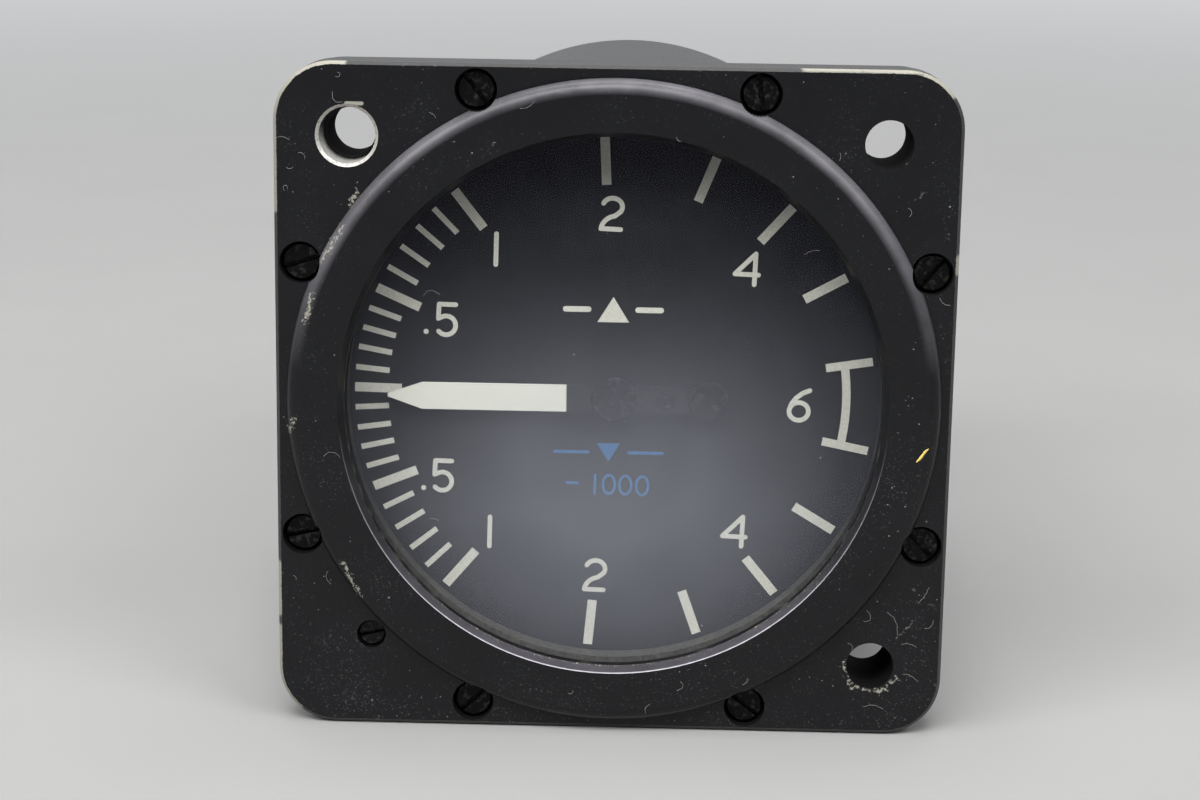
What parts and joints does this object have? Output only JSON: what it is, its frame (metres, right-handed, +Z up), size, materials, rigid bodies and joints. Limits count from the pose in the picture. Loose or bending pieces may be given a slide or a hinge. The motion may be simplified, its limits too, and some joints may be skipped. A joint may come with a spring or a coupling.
{
  "type": "vertical speed indicator",
  "caption": "Square-flanged aircraft panel instrument with a round dial, a swinging pointer, a zero-adjusting screw and a rear static port.",
  "frame": {"origin": "on the instrument's axis, in the plane of the flange's rear face where it meets the panel", "axes": "+Y along the case towards the static port at the rear, so the dial faces -Y; +Z up; +X to the viewer's right"},
  "size_m": [0.0604, 0.0879, 0.0604],
  "materials": {
    "black_paint": "satin",
    "black_screw_steel": "satin",
    "zero_screw_steel": "satin",
    "black_rubber": "matte",
    "window_glass": "polished",
    "black_anodised": "matte",
    "dial_black": "matte",
    "dial_white": "matte",
    "pointer_paint": "matte",
    "pointer_black": "matte",
    "polished_steel": "satin",
    "spring_bronze": "satin",
    "capsule_bronze": "satin",
    "filter_bronze": "matte",
    "line_copper": "satin",
    "jewel_red": "polished",
    "movement_brass": "satin"
  },
  "bodies": {
    "instrument": {"bezel": "black_paint", "bezel_screws": "black_screw_steel", "case": "black_paint", "case_flange": "black_paint", "case_back": "black_paint", "case_seal": "black_rubber", "window_glass": "window_glass", "window_gasket": "black_rubber", "spacer_ring": "black_anodised", "dial": "dial_black", "dial_marks": "dial_white", "hairspring": "spring_bronze", "hairspring_stud": "movement_brass", "front_plate": "movement_brass", "middle_plate": "movement_brass", "back_plate": "movement_brass", "front_pillars": "movement_brass", "rear_pillars": "movement_brass", "frame_screws": "polished_steel", "pillar_screws": "polished_steel", "pivot_jewels": "jewel_red", "stop_pins": "polished_steel", "static_manifold": "movement_brass", "manifold_screws": "polished_steel", "restrictor": "movement_brass", "restrictor_filter": "filter_bronze", "capsule_line": "line_copper"},
    "pointer_staff": {"pointer": "pointer_paint", "pointer_hub": "pointer_black", "pointer_weight": "pointer_black", "pointer_rivet": "pointer_black", "handstaff": "polished_steel", "hairspring_collet": "movement_brass"},
    "sector_shaft": {"sector_gear": "movement_brass", "sector_weight": "movement_brass", "rocking_shaft": "polished_steel", "crank": "movement_brass"},
    "capsule_push": {"capsule_post": "movement_brass"},
    "zero_adjuster": {"zero_screw": "zero_screw_steel", "zero_screw_seal": "black_rubber"},
    "capsule_mount": {"zero_shaft": "polished_steel", "zero_lever": "movement_brass", "capsule_carrier": "movement_brass", "capsule_stem": "movement_brass", "stem_nut": "movement_brass", "capsule": "capsule_bronze"}
  },
  "joints": [
    {"name": "pointer_turn", "type": "hinge", "parent": "instrument", "child": "pointer_staff", "pos_m": [0, 0, 0], "axis": [0, 1, 0], "range_deg": [-172, 172], "stiffness_Nm_per_rad": 0.0004, "deforming": ["hairspring", "capsule"]},
    {"name": "sector_turn", "type": "hinge", "parent": "instrument", "child": "sector_shaft", "pos_m": [0.01592, 0, -0.003], "axis": [0, 1, 0], "range_deg": [-21.5, 21.5]},
    {"name": "capsule_travel", "type": "slide", "parent": "instrument", "child": "capsule_push", "axis": [1, 0, 0], "range_m": [-0.00113, 0.00113]},
    {"name": "zero_screw_turn", "type": "hinge", "parent": "instrument", "child": "zero_adjuster", "pos_m": [-0.0217, 0, -0.0217], "axis": [0, 1, 0], "range_deg": [-40, 40], "deforming": ["capsule_line"]},
    {"name": "capsule_mount_turn", "type": "hinge", "parent": "instrument", "child": "capsule_mount", "pos_m": [-0.0105, 0, -0.0045], "axis": [0, 1, 0], "range_deg": [-1.4, 1.4]}
  ],
  "couplings": [
    {"joint": "sector_turn", "follows": "pointer_turn", "ratio": -0.125},
    {"joint": "capsule_travel", "follows": "pointer_turn", "m_per_rad": -0.000375},
    {"joint": "capsule_mount_turn", "follows": "zero_screw_turn", "ratio": -0.03325}
  ]
}
